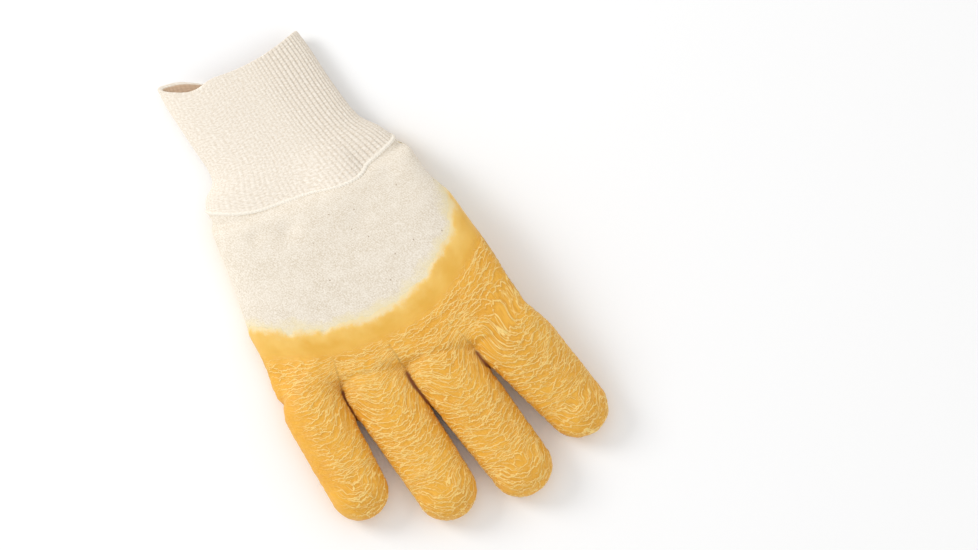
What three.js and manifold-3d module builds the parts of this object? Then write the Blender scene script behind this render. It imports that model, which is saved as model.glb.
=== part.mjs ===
// Right-hand work glove: a cotton glove with a ribbed knit wrist, dipped in latex over the palm and fingers.
// It lies on its palm with the thumb folded under the index side.
// Millimetres, +Z up, fingers towards -Y, thumb side towards +X, origin under the middle of the glove.

import * as THREE from "three";
import { mergeVertices } from "three/addons/utils/BufferGeometryUtils.js";
import Module from "manifold-3d";

const wasm = await Module();
wasm.setup();

// Hand, from the wrist seam to the forks of the fingers
const handLength = 111;
const handWidth = 130;
const handThickness = 33;
const handRoll = 9.5; // degrees by which the folded thumb lifts the index side

// Fingers: each length runs from the fork line to the tip
const littleLength = 68;
const ringLength = 81;
const middleLength = 81;
const indexLength = 61;
const littleWidth = 31;
const ringWidth = 33.5;
const middleWidth = 34.5;
const indexWidth = 37.5;
const fingerThickness = 23;
const tipLength = 14.5;

// Thumb, folded flat under the palm
const thumbLength = 88;
const thumbWidth = 35;
const thumbThickness = 17;
const thumbForkDepth = 23; // from the wrist seam to where the thumb leaves the palm

// Knit wrist, measured at its rim
const cuffLength = 63.5;
const cuffWidth = 71;
const cuffThickness = 16.5;
const cuffSide = -3; // the rim's middle lies this far towards the little finger
const loopStart = 11; // from the middle to where the rim's open corner begins
const loopFull = 29; // from the middle to where it is fully open
const ribCount = 84;
const ribDepth = 0.5;

// Walls and clearances
const clothWall = 1.5; // cotton alone
const coatThickness = 0.6; // latex on the cotton
const coatedWall = clothWall + coatThickness;
const knitWall = 2.4; // two layers of rib knit, folded at the rim
const seamRadius = 1.3;
const gap = 0.3; // between neighbouring pieces
const thumbGap = 0.8; // between the thumb and the palm
const settle = 0.5; // how far what rests on the floor is flattened
const wristReach = 3; // how far a cut runs out past the wrist seam

// Where the sections of the hand lie. Shares of handLength, handWidth, handThickness and handRoll.
// Skew and lean are the slopes of a section's plane across the hand and up it.
const handRows = [
  { along: 0.0, left: 0.409, right: 0.352, thick: 0.82, roll: 0.2, skew: 0.16, lean: 0.66 },
  { along: 0.04, left: 0.436, right: 0.374, thick: 0.95, roll: 0.3, skew: 0.15, lean: 0.6 },
  { along: 0.1, left: 0.452, right: 0.374, thick: 1.0, roll: 0.42, skew: 0.14, lean: 0.5 },
  { along: 0.2, left: 0.473, right: 0.374, thick: 1.0, roll: 0.65, skew: 0.12, lean: 0.33 },
  { along: 0.34, left: 0.506, right: 0.395, thick: 0.96, roll: 0.85, skew: 0.1, lean: 0.15 },
  { along: 0.49, left: 0.54, right: 0.399, thick: 0.91, roll: 0.95, skew: 0.12, lean: 0.04 },
  { along: 0.64, left: 0.55, right: 0.4, thick: 0.85, roll: 1.0, skew: 0.18, lean: 0.0 },
  { along: 0.78, left: 0.564, right: 0.394, thick: 0.79, roll: 1.0, skew: 0.26, lean: 0.0 },
  { along: 0.9, left: 0.58, right: 0.394, thick: 0.73, roll: 0.95, skew: 0.33, lean: 0.0 },
  { along: 0.97, left: 0.585, right: 0.396, thick: 0.66, roll: 0.92, skew: 0.34, lean: 0.0 },
  { along: 1.0, left: 0.575, right: 0.385, thick: 0.42, roll: 0.92, skew: 0.34, lean: 0.0 },
];

// Soft hollows and swells on the back of the hand. Shares of handWidth, handLength and handThickness.
const dents = [
  { across: 0.28, along: 0.14, radius: 0.1, depth: 0.07 },
  { across: -0.22, along: 0.1, radius: 0.1, depth: 0.05 },
  { across: 0.06, along: 0.08, radius: 0.09, depth: -0.04 },
  { across: -0.02, along: 0.42, radius: 0.2, depth: 0.03 },
  { across: 0.31, along: 0.4, radius: 0.12, depth: -0.03 },
];

// Across is the root's place as a share of handWidth, and tuck how far the buried root starts nearer the
// middle, as a share of the finger's width. Splay is in degrees towards the thumb side.
const fingers = [
  { across: -0.49, length: littleLength, width: littleWidth, splay: -5.4, taper: 0.88, settles: 1, tuck: 0.3 },
  { across: -0.247, length: ringLength, width: ringWidth, splay: -0.6, taper: 0.84, settles: 1, tuck: 0.05 },
  { across: 0.005, length: middleLength, width: middleWidth, splay: 3.2, taper: 0.84, settles: 1, tuck: -0.05 },
  { across: 0.282, length: indexLength, width: indexWidth, splay: 9.2, taper: 0.72, settles: 0.95, tuck: -0.12 },
];

// The thumb's middle line and size. Shares of handWidth, thumbLength, thumbThickness and thumbWidth.
const thumbRows = [
  { along: 0.0, across: 0.104, height: 0.72, wide: 0.9, thick: 1.0 },
  { along: 0.2, across: 0.114, height: 0.6, wide: 1.04, thick: 1.08 },
  { along: 0.4, across: 0.128, height: 0.51, wide: 1.03, thick: 1.04 },
  { along: 0.6, across: 0.15, height: 0.49, wide: 0.96, thick: 1.0 },
  { along: 0.8, across: 0.176, height: 0.465, wide: 0.85, thick: 0.95 },
  { along: 1.0, across: 0.196, height: 0.44, wide: 0.74, thick: 0.9 },
];

// The knit wrist from its rim to the wrist seam. Left, right and thick are how much of the way each has
// grown from the rim's size to the seam's. Bow lifts both corners of a section away from the hand, as a
// share of cuffWidth at one cuffWidth from the middle. Loop is lean that only the little-finger corner has,
// which opens the rim there.
const cuffRows = [
  { along: 0.0, left: 0.0, right: 0.3, thick: 0.0, skew: 0.17, lean: 0.0, bow: 0.42, loop: 0.9 },
  { along: 0.12, left: 0.08, right: 0.32, thick: 0.05, skew: 0.17, lean: 0.05, bow: 0.32, loop: 0.7 },
  { along: 0.4, left: 0.12, right: 0.28, thick: 0.16, skew: 0.16, lean: 0.22, bow: 0.12, loop: 0.2 },
  { along: 0.68, left: 0.2, right: 0.36, thick: 0.42, skew: 0.16, lean: 0.42, bow: 0.0, loop: 0.0 },
  { along: 0.85, left: 0.74, right: 0.76, thick: 0.74, skew: 0.16, lean: 0.57, bow: 0.0, loop: 0.0 },
  { along: 1.0, left: 1.0, right: 1.0, thick: 1.0, skew: 0.16, lean: 0.66, bow: 0.0, loop: 0.0 },
];

// The edge of the latex on the back of the hand. Shares of handWidth and handLength.
const dipLine = [
  { across: -0.7, along: 0.26 },
  { across: -0.52, along: 0.42 },
  { across: -0.45, along: 0.505 },
  { across: -0.37, along: 0.57 },
  { across: -0.3, along: 0.62 },
  { across: -0.2, along: 0.665 },
  { across: -0.06, along: 0.7 },
  { across: 0.08, along: 0.7 },
  { across: 0.2, along: 0.655 },
  { across: 0.3, along: 0.585 },
  { across: 0.355, along: 0.5 },
  { across: 0.385, along: 0.41 },
  { across: 0.45, along: 0.3 },
];
const dipSideHeight = 5.5; // the latex edge above the floor at the little-finger side
const dipSideRoll = 4.5; // degrees by which that edge rises towards the thumb side

// Facets round each section
const handSides = 36;
const fingerSides = 16;
const thumbSides = 18;

const colours = {
  latex: 0xe8b04a,
  cotton: 0xece2d0,
  knit: 0xeee6d8,
};

// A table's row at a share of its length, each column on a smooth curve through the rows
function rowAt(rows, along) {
  const last = rows.length - 1;
  let i = 0;
  while (i < last - 1 && rows[i + 1].along < along) i++;
  const before = rows[Math.max(i - 1, 0)];
  const from = rows[i];
  const to = rows[i + 1];
  const after = rows[Math.min(i + 2, last)];
  const span = to.along - from.along;
  const t = (along - from.along) / span;
  const row = { along };
  for (const key of Object.keys(from)) {
    if (key === "along") continue;
    const leave = ((to[key] - before[key]) / Math.max(to.along - before.along, span)) * span;
    const arrive = ((after[key] - from[key]) / Math.max(after.along - from.along, span)) * span;
    const t2 = t * t;
    const t3 = t2 * t;
    row[key] =
      (2 * t3 - 3 * t2 + 1) * from[key] +
      (t3 - 2 * t2 + t) * leave +
      (3 * t2 - 2 * t3) * to[key] +
      (t3 - t2) * arrive;
  }
  return row;
}

// Points of a rounded flat section as pairs of side and up, spread evenly round it
function sectionPoints(halfWidth, halfThickness, count, squareness = 2.3) {
  const spread = 0.5 * Math.min(1, Math.max(0, halfWidth / halfThickness - 1) / 3);
  const points = [];
  for (let i = 0; i < count; i++) {
    const even = (2 * Math.PI * i) / count;
    const angle = even + (spread / 2) * Math.sin(2 * even);
    const c = Math.cos(angle);
    const s = Math.sin(angle);
    const side = Math.sign(c) * Math.abs(c) ** (2 / squareness) * halfWidth;
    const up = Math.sign(s) * Math.abs(s) ** (2 / squareness) * halfThickness;
    points.push([side, up]);
  }
  return points;
}

// Joins rings of points into a closed skin. The rings run towards -Y, and each turns from +X up to +Z.
// With ends, each end is closed to a point. Without, the last ring meets the first, as a sleeve's do.
function loft(rings, ends) {
  const count = rings[0].length;
  const positions = rings.flat().flatMap((p) => [p.x, p.y, p.z]);
  const faces = [];
  const bands = ends ? rings.length - 1 : rings.length;
  for (let i = 0; i < bands; i++) {
    const next = (i + 1) % rings.length;
    for (let j = 0; j < count; j++) {
      const k = (j + 1) % count;
      const [a, b, c, d] = [i * count + j, i * count + k, next * count + j, next * count + k];
      faces.push(a, b, c, b, d, c);
    }
  }
  if (ends) {
    const first = positions.length / 3;
    positions.push(...ends[0].toArray(), ...ends[1].toArray());
    const start = (rings.length - 1) * count;
    for (let j = 0; j < count; j++) {
      const k = (j + 1) % count;
      faces.push(first, k, j, first + 1, start + j, start + k);
    }
  }
  const skin = new THREE.BufferGeometry();
  skin.setAttribute("position", new THREE.Float32BufferAttribute(positions, 3));
  skin.setIndex(faces);
  return skin;
}

function middleOf(ring) {
  const sum = ring.reduce((total, p) => total.add(p), new THREE.Vector3());
  return sum.divideScalar(ring.length);
}

function solidOf(geometry) {
  const bare = geometry.clone();
  bare.deleteAttribute("normal");
  bare.deleteAttribute("uv");
  const merged = mergeVertices(bare, 1e-4);
  return new wasm.Manifold(
    new wasm.Mesh({
      numProp: 3,
      vertProperties: new Float32Array(merged.attributes.position.array),
      triVerts: new Uint32Array(merged.index.array),
    }),
  );
}

function geometryOf(solid) {
  const mesh = solid.getMesh();
  const geometry = new THREE.BufferGeometry();
  geometry.setAttribute("position", new THREE.BufferAttribute(mesh.vertProperties, 3));
  geometry.setIndex(new THREE.BufferAttribute(mesh.triVerts, 1));
  geometry.computeVertexNormals();
  return geometry;
}

// A block that holds all of the glove above a height
function above(height) {
  const side = 4 * (handWidth + handLength + middleLength + cuffLength);
  return solidOf(new THREE.BoxGeometry(side, side, side).translate(0, 0, height + side / 2));
}

// The frame of one section of the hand: its middle, half sizes and turn
function handSection(along) {
  const row = rowAt(handRows, along);
  const halfWidth = ((row.left + row.right) / 2) * handWidth;
  const halfThickness = (row.thick * handThickness) / 2;
  const turn = THREE.MathUtils.degToRad(row.roll * handRoll);
  const lowest = Math.hypot(halfWidth * Math.sin(turn) * 0.92, halfThickness * Math.cos(turn));
  return {
    ...row,
    x: ((row.right - row.left) / 2) * handWidth,
    y: -row.along * handLength,
    z: lowest - settle,
    halfWidth,
    halfThickness,
    turn,
  };
}

// How far the back of the hand is pressed in at a point
function dentAt(x, y) {
  let depth = 0;
  for (const dent of dents) {
    const dx = x - dent.across * handWidth;
    const dy = y + dent.along * handLength;
    const radius = dent.radius * handWidth;
    depth += dent.depth * handThickness * Math.exp(-(dx * dx + dy * dy) / (radius * radius));
  }
  return depth;
}

// One ring of the hand, inset from its outer face and moved along the glove
function handRing(along, inset, shift = 0) {
  const s = handSection(along);
  const points = sectionPoints(s.halfWidth - inset, s.halfThickness - inset, handSides);
  const planeY = (x, z) => s.y - s.skew * x - s.lean * (z - s.z) + shift;
  return points.map(([side, up]) => {
    const x = s.x + side * Math.cos(s.turn) - up * Math.sin(s.turn);
    const round = s.z + side * Math.sin(s.turn) + up * Math.cos(s.turn);
    const top = THREE.MathUtils.smoothstep(up / s.halfThickness, 0.2, 0.9);
    const z = round - top * dentAt(x, planeY(x, round) - shift);
    return new THREE.Vector3(x, planeY(x, z), z);
  });
}

// The hand without its fingers. With a reach it runs that far out of the wrist, to cut right through there.
function hand(inset, reach = 0) {
  const steps = 15;
  const end = 1 - inset / handLength;
  const rings = [];
  for (let i = 0; i <= steps; i++) {
    const share = i / steps;
    const along = end * (share < 0.5 ? 0.9 * share : 0.45 + 1.1 * (share - 0.5));
    rings.push(handRing(along, inset));
  }
  if (reach > 0) rings.unshift(handRing(0, inset, reach));
  return solidOf(loft(rings, [middleOf(rings[0]), middleOf(rings.at(-1))]));
}

// A limb with a round tip. Its middle line and half sizes are functions of the share of its length.
function limb(place, halfSizes, length, inset, steps, count) {
  const side = new THREE.Vector3();
  const ahead = new THREE.Vector3();
  const up = new THREE.Vector3(0, 0, 1);
  const ringAt = (share, reach, scale) => {
    const centre = place(share);
    ahead.subVectors(place(share + 0.01), place(share - 0.01)).normalize();
    side.crossVectors(up, ahead).normalize();
    centre.addScaledVector(ahead, reach);
    const [halfWidth, halfThickness] = halfSizes(share).map((half) => (half - inset) * scale);
    return sectionPoints(halfWidth, halfThickness, count).map(([a, b]) =>
      centre.clone().addScaledVector(side, a).addScaledVector(up, b),
    );
  };
  const body = 1 - tipLength / length;
  const rings = [];
  for (let i = 0; i <= steps; i++) rings.push(ringAt((body * i) / steps, 0, 1));
  const tipSteps = 3;
  for (let i = 1; i <= tipSteps; i++) {
    const angle = (Math.PI / 2) * (i / (tipSteps + 0.6));
    rings.push(ringAt(body, (tipLength - inset) * Math.sin(angle), Math.cos(angle)));
  }
  const tip = middleOf(ringAt(body, tipLength - inset, 1));
  return solidOf(loft(rings, [middleOf(rings[0]), tip]));
}

// A finger starts inside the hand, a root's depth behind the fork line
function finger({ across, length, width, splay, taper, settles, tuck }, inset) {
  const rootDepth = 0.8 * width;
  const whole = length + rootDepth;
  const root = handSection(0.93);
  const x = across * handWidth;
  const turn = THREE.MathUtils.degToRad(splay);
  const start = new THREE.Vector3(x, -handLength - root.skew * x + rootDepth, 0);
  const rootHeight = root.z + Math.tan(root.turn) * (x - root.x);
  const halfThickness = fingerThickness / 2;
  const tipHeight = halfThickness * taper - settle;
  const place = (share) => {
    const drop = THREE.MathUtils.smoothstep(share, 0.12, 1) * settles;
    const buried = 1 - THREE.MathUtils.smoothstep(share, 0, 1.4 * rootDepth / whole);
    return new THREE.Vector3(
      start.x + Math.sin(turn) * whole * (share - rootDepth / whole) + tuck * width * buried,
      start.y - Math.cos(turn) * whole * share,
      THREE.MathUtils.lerp(Math.max(rootHeight, tipHeight), tipHeight, drop),
    );
  };
  const halfSizes = (share) => {
    const clear = THREE.MathUtils.smoothstep(share, 0, 1.2 * rootDepth / whole);
    const size = THREE.MathUtils.lerp(1, taper, share ** 1.6) * THREE.MathUtils.lerp(0.45, 1, clear);
    return [(width / 2) * size, halfThickness * size];
  };
  return limb(place, halfSizes, whole, inset, 7, fingerSides);
}

// The thumb leaves the palm near the wrist and lies on the floor. Its root is buried in the palm.
function thumb(inset) {
  const start = -0.6 * thumbForkDepth;
  const place = (share) => {
    const row = rowAt(thumbRows, share);
    return new THREE.Vector3(
      row.across * handWidth,
      start - share * thumbLength,
      row.height * thumbThickness - settle,
    );
  };
  const halfSizes = (share) => {
    const row = rowAt(thumbRows, share);
    return [(row.wide * thumbWidth) / 2, (row.thick * thumbThickness) / 2];
  };
  return limb(place, halfSizes, thumbLength, inset, 8, thumbSides);
}

// The room that the free part of the thumb takes from the palm, grown by a margin on every side
function thumbRoom(margin) {
  const side = 4 * (handWidth + handLength);
  const fork = -thumbForkDepth + margin;
  const beyondFork = new THREE.BoxGeometry(side, side, side).translate(0, fork - side / 2, 0);
  return thumb(-margin).intersect(solidOf(beyondFork));
}

// The whole form of hand and fingers at an inset, without the thumb's room. The floor flattens it.
function form(inset, reach = 0) {
  const parts = [hand(inset, reach), ...fingers.map((f) => finger(f, inset))];
  const joined = parts.reduce((whole, part) => whole.add(part));
  return joined.subtract(thumbRoom(thumbGap + inset)).add(thumb(inset)).intersect(above(inset));
}

// Everything on the back of the hand inside the latex edge, drawn in by a margin
function backRoom(margin) {
  const outline = dipLine.map(({ across, along }) => {
    const x = across * (handWidth - 2 * margin);
    return new THREE.Vector2(x, -along * handLength + margin);
  });
  const shape = new THREE.Shape();
  const beyondWrist = handLength;
  shape.moveTo(outline[0].x, beyondWrist);
  shape.lineTo(outline[0].x, outline[0].y);
  shape.splineThru(outline.slice(1));
  shape.lineTo(outline.at(-1).x, beyondWrist);
  const room = new THREE.ExtrudeGeometry(shape, {
    depth: 3 * handThickness,
    bevelEnabled: false,
    curveSegments: 2,
  });
  const turn = THREE.MathUtils.degToRad(dipSideRoll);
  room.translate(handWidth * 0.5, 0, margin).rotateY(-turn);
  return solidOf(room.translate(-handWidth * 0.5, 0, dipSideHeight));
}

function latexCoat() {
  const cleared = hand(-coatThickness, wristReach).subtract(hand(coatedWall + coatThickness, 2 * wristReach));
  return form(0).subtract(form(coatedWall, wristReach)).subtract(cleared.intersect(backRoom(0)));
}

function cottonBack() {
  const wall = hand(coatThickness).subtract(hand(coatedWall, wristReach));
  return wall.intersect(backRoom(gap)).intersect(above(0));
}

// A welt where the knit wrist is sewn to the hand
function wristSeam() {
  const steps = 6;
  const rings = [];
  for (let i = 0; i < steps; i++) {
    const angle = (2 * Math.PI * i) / steps;
    const inset = seamRadius - seamRadius * Math.cos(angle);
    const shift = seamRadius + gap - seamRadius * Math.sin(angle);
    rings.push(handRing(0, inset, shift));
  }
  return solidOf(loft(rings)).intersect(above(0));
}

// One ring of the knit wrist. It grows from the rim to the wrist seam, and the ribs run along it.
function cuffRing(along, inset, shift, ribs) {
  const row = rowAt(cuffRows, along);
  const seam = handSection(0);
  const tuck = seamRadius / 2;
  const left = THREE.MathUtils.lerp(cuffWidth / 2 - cuffSide, seam.halfWidth - seam.x - tuck, row.left);
  const right = THREE.MathUtils.lerp(cuffWidth / 2 + cuffSide, seam.halfWidth + seam.x - tuck, row.right);
  const halfThickness = THREE.MathUtils.lerp(cuffThickness / 2, seam.halfThickness - tuck, row.thick);
  const halfWidth = (left + right) / 2;
  const middleX = (right - left) / 2;
  const middleZ = THREE.MathUtils.lerp(cuffThickness / 2 - settle, seam.z, row.thick);
  const turn = seam.turn * row.thick;
  const start = 2 * seamRadius + 2 * gap + (1 - along) * cuffLength + shift;
  const points = sectionPoints(halfWidth - inset, halfThickness - inset, 2 * ribCount);
  const valley = ribs * ribDepth;
  return points.map(([side, up], i) => {
    const depth = (i % 2) * valley;
    const a = side * (1 - depth / halfWidth);
    const b = up * (1 - depth / halfThickness);
    const x = middleX + a * Math.cos(turn) - b * Math.sin(turn);
    const z = middleZ + a * Math.sin(turn) + b * Math.cos(turn);
    const lean = row.lean + row.loop * THREE.MathUtils.smoothstep(-x, loopStart, loopFull);
    const y = start - row.skew * x + (row.bow * x * x) / cuffWidth - lean * (z - middleZ);
    return new THREE.Vector3(x, y, z);
  });
}

function knitWrist() {
  const outer = [0, 0.25, 0.5, 0.75, 1].map((along) => cuffRing(along, 0, 0, 1));
  const inner = [1, 0.6, 0].map((along) => cuffRing(along, knitWall, 0, 0));
  const lip = cuffRing(0, knitWall / 2, knitWall / 2, 0.4);
  return solidOf(loft([...outer, ...inner, lip])).intersect(above(0));
}

function piece(name, solid, colour, roughness) {
  const material = new THREE.MeshStandardMaterial({ color: colour, roughness, metalness: 0 });
  const mesh = new THREE.Mesh(geometryOf(solid), material);
  mesh.name = name;
  return mesh;
}

const glove = new THREE.Group();
glove.add(
  piece("knit_wrist", knitWrist(), colours.knit, 0.95),
  piece("wrist_seam", wristSeam(), colours.knit, 0.95),
  piece("cotton_back", cottonBack(), colours.cotton, 0.95),
  piece("latex_coat", latexCoat(), colours.latex, 0.6),
);

// The origin goes under the middle of the glove, on the floor.
const bounds = new THREE.Box3().setFromObject(glove);
const middle = bounds.getCenter(new THREE.Vector3());
glove.position.set(-middle.x, -middle.y, -bounds.min.z);

export default glove;
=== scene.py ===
import itertools
import math

import bpy
import numpy as np
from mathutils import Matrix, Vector, noise


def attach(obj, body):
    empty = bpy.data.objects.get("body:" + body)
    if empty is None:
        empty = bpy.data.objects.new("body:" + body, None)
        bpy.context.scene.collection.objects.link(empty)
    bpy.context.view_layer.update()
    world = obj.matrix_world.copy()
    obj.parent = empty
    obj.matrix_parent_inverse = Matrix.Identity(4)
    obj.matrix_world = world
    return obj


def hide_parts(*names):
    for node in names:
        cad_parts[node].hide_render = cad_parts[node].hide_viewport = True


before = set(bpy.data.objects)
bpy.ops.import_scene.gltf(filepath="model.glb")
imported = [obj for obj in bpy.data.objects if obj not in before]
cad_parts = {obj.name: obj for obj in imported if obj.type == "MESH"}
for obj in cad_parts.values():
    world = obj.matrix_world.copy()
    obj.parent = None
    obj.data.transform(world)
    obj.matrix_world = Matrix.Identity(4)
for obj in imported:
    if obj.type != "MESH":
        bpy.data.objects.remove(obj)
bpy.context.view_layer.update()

# ---------------------------------------------------------------- sizes, the same as the solids'
# Lengths are in millimetres and angles in degrees. The tables hold shares unless they say otherwise.
hand_length = 111.0
hand_width = 130.0
hand_thickness = 33.0
hand_roll = 9.5
finger_thickness = 23.0
tip_length = 14.5
thumb_length = 88.0
thumb_width = 35.0
thumb_thickness = 17.0
thumb_fork = 23.0
cuff_length = 63.5
cuff_width = 71.0
cuff_thickness = 16.5
cuff_side = -3.0
loop_start = 11.0
loop_full = 29.0
rib_count = 84
seam_radius = 1.3
gap = 0.3
thumb_gap = 0.8
settle = 0.5
coated_wall = 2.1
knit_wall = 2.4
section_power = 2.3  # how square the flat sections are, 2 being an ellipse
knuckles = 0.93  # where along the hand the fingers take their height and slant from
finger_join, hand_join, thumb_join = 1.2, 5.0, 1.0  # how round the joins are
slit_round = 1.5  # of the slit that the folded thumb lies in
floor_round = 1.6
origin = np.array([12.039, 54.099, 0.0])  # the glove's own frame in the row frame

hand_rows = {  # the first two left shares are a little over the solids'
    "along": [0.0, 0.04, 0.1, 0.2, 0.34, 0.49, 0.64, 0.78, 0.9, 0.97, 1.0],
    "left": [0.412, 0.438, 0.452, 0.473, 0.506, 0.54, 0.55, 0.564, 0.58, 0.585, 0.575],
    "right": [0.352, 0.374, 0.374, 0.374, 0.395, 0.399, 0.4, 0.394, 0.394, 0.396, 0.385],
    "thick": [0.82, 0.95, 1.0, 1.0, 0.96, 0.91, 0.85, 0.79, 0.73, 0.66, 0.42],
    "roll": [0.2, 0.3, 0.42, 0.65, 0.85, 0.95, 1.0, 1.0, 0.95, 0.92, 0.92],
    "skew": [0.16, 0.15, 0.14, 0.12, 0.1, 0.12, 0.18, 0.26, 0.33, 0.34, 0.34],
    "lean": [0.66, 0.6, 0.5, 0.33, 0.15, 0.04, 0.0, 0.0, 0.0, 0.0, 0.0],
}
# Each dent has its place across and along, its radius and its depth, in shares of the hand's width, length,
# width and thickness. Only the scene has those after the fifth.
dents = [
    (0.28, 0.14, 0.1, 0.07),
    (-0.22, 0.1, 0.1, 0.05),
    (0.06, 0.08, 0.09, -0.04),
    (-0.02, 0.42, 0.2, 0.03),
    (0.31, 0.4, 0.12, -0.03),
    (0.25, 0.17, 0.035, 0.055),
    (-0.2, 0.16, 0.035, 0.045),
    (-0.32, 0.1, 0.03, 0.03),
    (0.05, 0.3, 0.05, 0.02),
]
fingers = [
    dict(across=-0.49, length=68.0, width=31.0, splay=-5.4, taper=0.88, settles=1.0, tuck=0.3),
    dict(across=-0.247, length=81.0, width=33.5, splay=-0.6, taper=0.84, settles=1.0, tuck=0.05),
    dict(across=0.005, length=81.0, width=34.5, splay=3.2, taper=0.84, settles=1.0, tuck=-0.05),
    dict(across=0.282, length=61.0, width=37.5, splay=9.2, taper=0.72, settles=0.95, tuck=-0.12),
]
thumb_rows = {
    "along": [0.0, 0.2, 0.4, 0.6, 0.8, 1.0],
    "across": [0.104, 0.114, 0.128, 0.15, 0.176, 0.196],
    "height": [0.72, 0.6, 0.51, 0.49, 0.465, 0.44],
    "wide": [0.9, 1.04, 1.03, 0.96, 0.85, 0.74],
    "thick": [1.0, 1.08, 1.04, 1.0, 0.95, 0.9],
}
cuff_rows = {
    "along": [0.0, 0.12, 0.4, 0.68, 0.85, 1.0],
    "left": [0.0, 0.08, 0.12, 0.2, 0.74, 1.0],
    "right": [0.3, 0.32, 0.28, 0.36, 0.76, 1.0],
    "thick": [0.0, 0.05, 0.16, 0.42, 0.74, 1.0],
    "skew": [0.17, 0.17, 0.16, 0.16, 0.16, 0.16],
    "lean": [0.0, 0.05, 0.22, 0.42, 0.57, 0.66],
    "bow": [0.42, 0.32, 0.12, 0.0, 0.0, 0.0],
    "loop": [0.9, 0.7, 0.2, 0.0, 0.0, 0.0],
}
dip_line = [  # the latex edge on the back, across and along the hand
    (-0.7, 0.26), (-0.52, 0.42), (-0.45, 0.505), (-0.37, 0.57), (-0.3, 0.62), (-0.2, 0.665), (-0.06, 0.7),
    (0.08, 0.7), (0.2, 0.655), (0.3, 0.585), (0.355, 0.5), (0.385, 0.41), (0.45, 0.3),
]
dip_side_height = 5.5
dip_side_roll = 4.5

# ---------------------------------------------------------------- sizes that only the scene has
# The film is the latex layer. Insets are how deep under the outer face a layer's own face lies.
web_rows = {  # across the hand, and how far the webs reach past its end, in millimetres
    "along": [0.0, 0.14, 0.28, 0.38, 0.5, 0.62, 0.68, 1.0],
    "reach": [17.0, 17.0, 18.0, 20.0, 17.0, 10.0, 9.0, 9.0],
}
seam_rows = {  # across the hand, and how far the seam wanders towards the wrist, in millimetres
    "along": [0.0, 0.1, 0.19, 0.27, 0.45, 0.56, 0.63, 0.71, 0.8, 0.87, 1.0],
    "wander": [5.2, 5.2, 1.5, -0.6, -1.5, -2.7, -2.6, -0.6, 1.9, 3.0, 3.2],
}
end_thinning = 0.3  # the share of its thickness that the hand loses in the webs
edge_drop = 1.5  # how much lower than in the solids the latex edge runs along the sides
edge_bays = ((11.0, 2.6), (4.0, 1.8), (1.7, 0.8))  # the size and depth of the ragged edge's bays
dip_depth = 78.0  # how far the middle of the latex edge is from the wrist seam
fork_bow = 9.0  # how far, and how widely, the crinkles bow round the fork between two fingers
film_thickness = 0.45
film_inset = 0.3
latex_overlap, cotton_overlap = 2.2, 2.4  # how far each layer runs past the latex edge
cotton_inset = 0.45
lining_inset = 0.9
rib_depth, rib_depth_more = 0.2, 0.36  # all round, and what the thumb side adds
inner_rib_depth = 0.3
inner_rows, fold_rows = 24, 5  # rings of the knit's inside and of its folded rim
welt_inset, welt_share = 1.0, 0.75
stitch_count, stitch_height = 150, 0.12
crinkle_height, swell_height = 0.4, 1.2
crinkle_from, crinkle_full = 9.0, 17.0  # how far inside the latex edge the crinkles begin, and are full
wide_size, fine_size = 2.6, 1.7  # of the nets that the crinkles' ridges follow
wide_sway, fine_sway = 4.5, 3.0  # how far the nets' lines are bent
ridge_half, shade_half = 0.42, 1.2  # half widths of a ridge's top with its painted highlight and of the painted shade along it


# ---------------------------------------------------------------- small helpers
def smooth(a, lo, hi):
    t = np.clip((a - lo) / (hi - lo), 0, 1)
    return t * t * (3 - 2 * t)


def smin(a, b, k):
    h = np.maximum(k - np.abs(a - b), 0) / k
    return np.minimum(a, b) - h * h * k / 4


def smax(a, b, k):
    return -smin(-a, -b, k)


def hermite(rows, count=400):
    """The rows of a table on a smooth curve, sampled evenly from 0 to 1."""
    a = np.array(rows["along"])
    s = np.linspace(0, 1, count)
    i = np.clip(np.searchsorted(a, s, side="left") - 1, 0, len(a) - 2)
    before, after = np.maximum(i - 1, 0), np.minimum(i + 2, len(a) - 1)
    span = a[i + 1] - a[i]
    t = (s - a[i]) / span
    out = {"along": s}
    for key, values in rows.items():
        if key == "along":
            continue
        v = np.array(values)
        leave = (v[i + 1] - v[before]) / np.maximum(a[i + 1] - a[before], span) * span
        arrive = (v[after] - v[i]) / np.maximum(a[after] - a[i], span) * span
        t2, t3 = t * t, t * t * t
        out[key] = (
            (2 * t3 - 3 * t2 + 1) * v[i] + (t3 - 2 * t2 + t) * leave
            + (3 * t2 - 2 * t3) * v[i + 1] + (t3 - t2) * arrive
        )
    return out


hand_table = hermite(hand_rows)
hand_table["x"] = (hand_table["right"] - hand_table["left"]) / 2 * hand_width
hand_table["half_width"] = (hand_table["right"] + hand_table["left"]) / 2 * hand_width
hand_table["half_thick"] = hand_table["thick"] * hand_thickness / 2
hand_table["turn"] = np.radians(hand_table["roll"] * hand_roll)
hand_table["z"] = np.hypot(
    hand_table["half_width"] * np.sin(hand_table["turn"]) * 0.92,
    hand_table["half_thick"] * np.cos(hand_table["turn"]),
) - settle
web_table = hermite(web_rows)
thumb_table = hermite(thumb_rows)
cuff_table = hermite(cuff_rows)
seam_table = hermite(seam_rows)


def at(table, key, share):
    return np.interp(share, table["along"], table[key])


def seam_wander(x, z):
    """How far the seam lies past its plane, towards the wrist. Only the back of the hand wanders."""
    return at(seam_table, "wander", x / hand_width + 0.5) * smooth(z, 4, 11)


def web_reach(x):
    """How far the webs between the fingers reach past the end of the hand."""
    return at(web_table, "reach", x / hand_width + 0.5)


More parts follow.
